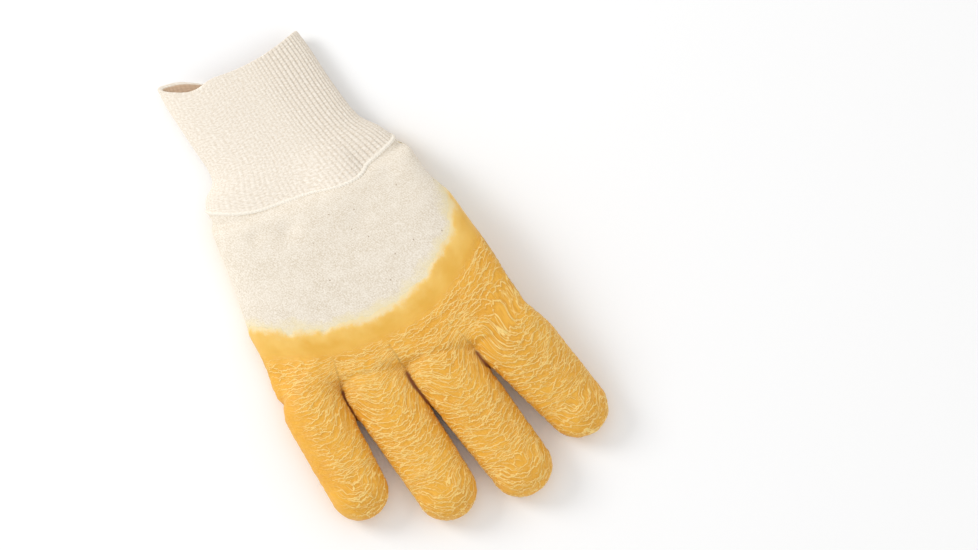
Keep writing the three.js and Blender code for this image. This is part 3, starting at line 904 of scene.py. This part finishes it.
latex_material, t, shader = material("crinkled_latex")
lines, beside = crinkles(t, ridge_half, shade_half)
coords = t.attribute("flow", True)
edge = t.attribute("edge")
tone = t.noise(coords, 0.05, 2.0)
fine = t.noise(coords, 1.1, 4.0, 0.6)
rough = t.range(edge, crinkle_from, crinkle_full)
body = t.mix(t.range(tone, 0.3, 0.7), latex_dark, latex_light)
body = t.mix(t.times(t.range(fine, 0.42, 0.66), 0.55), body, latex_grain)
film = t.mix(t.range(t.noise(coords, 0.08, 2.0), 0.3, 0.7), film_dark, film_light)
body = t.mix(rough, film, body)
# Painted shade in the latex beside each ridge.
body = t.mix(t.times(beside, 0.55), body, ridge_shade)
# A painted highlight on each ridge's top.
body = t.mix(t.range(lines, 0.1, 0.72, 0.0, 0.9), body, ridge_highlight)
# The film thins towards its edge, and ends in a stain in the cotton.
near = t.plus(edge, t.times(t.noise(coords, 0.3, 3.0), 5.0))
body = t.mix(t.range(near, 2.0, 11.0, 0.5, 0.0), body, film_thin)
soft = t.times(t.noise(coords, 0.07, 1.0), 6.0)
speck = t.plus(edge, t.times(t.noise(coords, 1.5, 4.0, 0.7), 4.0))
speck = t.math("SUBTRACT", speck, soft)
body = t.mix(t.range(speck, -2.4, 1.6, 0.9, 0.0), body, stain_on_latex)
# Painted shade in the creases between the fingers, darkest where they meet.
body = t.mix(t.range(t.attribute("crease"), 0.05, 0.7, 0.0, 0.95), body, crease_shade)
shader.inputs["Subsurface Weight"].default_value = 0.08
shader.inputs["Subsurface Radius"].default_value = (0.003, 0.0015, 0.0005)
height = t.plus(t.times(lines, 0.22), t.times(t.times(fine, rough), 0.4))
paint(t, shader, body, t.range(rough, 0.0, 1.0, 0.36, 0.52), 0.4, height, 0.0004)
latex.data.materials.append(latex_material)

cotton_material, t, shader = material("cotton_jersey")
coords = t.attribute("flow", True)
# Slanted wales, then brown flecks of seed husk, then the stain beside the latex.
wander = t.times(t.noise(coords, 0.35, 2.0), 5.0)
slant = t.math("SUBTRACT", t.times(t.part(coords, 0), 5.4), t.times(t.part(coords, 1), 1.77))
wale = t.math("SINE", t.plus(slant, wander))
grain = t.noise(coords, 1.3, 4.0, 0.65)
mottle = t.noise(coords, 0.12, 2.0)
cloth = t.mix(t.range(grain, 0.34, 0.66), cotton_dark, cotton_light)
cloth = t.mix(t.range(wale, -1.0, 1.0, 0.13, 0.0), cloth, wale_shade)
cloth = t.mix(t.range(mottle, 0.35, 0.7, 0.0, 0.25), cloth, cotton_pale)
fleck = t.add("ShaderNodeTexVoronoi", feature="F1")
t.plug(fleck.inputs["Vector"], coords)
fleck.inputs["Scale"].default_value = 0.15
spot = t.range(fleck.outputs["Distance"], 0.04, 0.085, 1.0, 0.0)
cloth = t.mix(t.times(spot, 0.65), cloth, husk_brown)
stain = t.plus(t.attribute("edge"), t.times(t.noise(coords, 0.9, 5.0, 0.7), 9.0))
stain = t.plus(stain, t.times(t.noise(coords, 0.07, 1.0), 6.0))
cloth = t.mix(t.range(stain, 0.0, 6.5, 0.0, 0.75), cloth, stain_on_cotton)
height = t.plus(t.times(wale, 0.2), t.times(grain, 1.2))
paint(t, shader, cloth, 0.95, 0.1, height, 0.00014)
cotton.data.materials.append(cotton_material)
lining.data.materials.append(cotton_material)

knit_material, t, shader = material("rib_knit_cotton")
coords = t.attribute("flow", True)
rib = t.attribute("rib")
course = t.math("SINE", t.times(t.part(coords, 1), 4.8))  # the rows of the knit
grain = t.noise(coords, 1.4, 4.0, 0.65)
yarn = t.mix(t.range(grain, 0.33, 0.67), yarn_dark, yarn_light)
depth = t.range(t.attribute("deep"), rib_depth, rib_depth + rib_depth_more, 0.1, 0.3)
loops = t.plus(course, t.times(grain, 2.0))
depth = t.times(depth, t.range(loops, -0.5, 2.0, 0.35, 1.5))
yarn = t.mix(t.times(t.math("SUBTRACT", 1.0, rib), depth), yarn, rib_shade)
# Painted shade on the knit's inside, within the cuff's opening.
yarn = t.mix(t.times(t.attribute("inside"), 0.85), yarn, knit_inside_shade)
height = t.plus(t.times(course, 0.12), t.times(grain, 1.0))
paint(t, shader, yarn, 0.95, 0.1, height, 0.00022)
cuff.data.materials.append(knit_material)

welt_material, t, shader = material("welt_cotton")
coords = t.attribute("flow", True)
mottle = t.noise(coords, 0.8, 3.0, 0.6)
yarn = t.mix(t.range(mottle, 0.35, 0.65), welt_dark, welt_light)
paint(t, shader, yarn, 0.95, 0.15, mottle, 0.0002)
seam.data.materials.append(welt_material)

# ---------------------------------------------------------------- floor, light and camera
# Lengths from here on are in metres.
floor_mesh = bpy.data.meshes.new("floor")
half_floor = 3.0
corners = [(x * half_floor, y * half_floor, 0) for x, y in ((-1, -1), (1, -1), (1, 1), (-1, 1))]
floor_mesh.from_pydata(corners, [], [(0, 1, 2, 3)])
floor = bpy.data.objects.new("floor", floor_mesh)
bpy.context.collection.objects.link(floor)
floor_material, t, shader = material("pale_floor")
shader.inputs["Base Color"].default_value = (0.97, 0.97, 0.97, 1)
shader.inputs["Roughness"].default_value = 0.9
floor.data.materials.append(floor_material)

world = bpy.data.worlds.new("studio")
bpy.context.scene.world = world
world.use_nodes = True
sky = world.node_tree.nodes["Background"]
sky.inputs["Color"].default_value = (1, 1, 1, 1)
sky.inputs["Strength"].default_value = 0.8

azimuth, elevation = math.radians(-34.19), math.radians(78.0)
picture_width = 978  # pixels
per_pixel = 0.4977e-3
right = Vector((math.cos(azimuth), math.sin(azimuth), 0))
level = Vector((math.sin(azimuth), -math.cos(azimuth), 0))
back = level * math.cos(elevation) + Vector((0, 0, math.sin(elevation)))
up = back.cross(right)


def lamp(name, across, away, high, size, watts):
    """A square lamp that shines on the glove, placed across and away as the camera sees it."""
    data = bpy.data.lights.new(name, "AREA")
    data.size, data.energy = size, watts
    obj = bpy.data.objects.new(name, data)
    bpy.context.collection.objects.link(obj)
    flat_up = Vector((up.x, up.y, 0)).normalized()
    obj.location = right * across + flat_up * away + Vector((0, 0, high))
    obj.rotation_mode = "QUATERNION"
    obj.rotation_quaternion = (-obj.location).to_track_quat("-Z", "Y")


lamp("key", -1.1, 0.35, 0.85, 0.6, 8.8)
lamp("fill", 0.9, -0.5, 1.3, 1.2, 1.2)

distance = 3.0
camera_data = bpy.data.cameras.new("camera")
camera = bpy.data.objects.new("camera", camera_data)
bpy.context.collection.objects.link(camera)
camera_data.sensor_width = 36.0
camera_data.lens = camera_data.sensor_width * distance / (picture_width * per_pixel)
target = right * 0.067 + up * 0.00546
camera.location = target + back * distance
camera.rotation_mode = "QUATERNION"
camera.rotation_quaternion = (-back).to_track_quat("-Z", "Y")
bpy.context.scene.camera = camera
bpy.context.scene.view_settings.view_transform = "Standard"
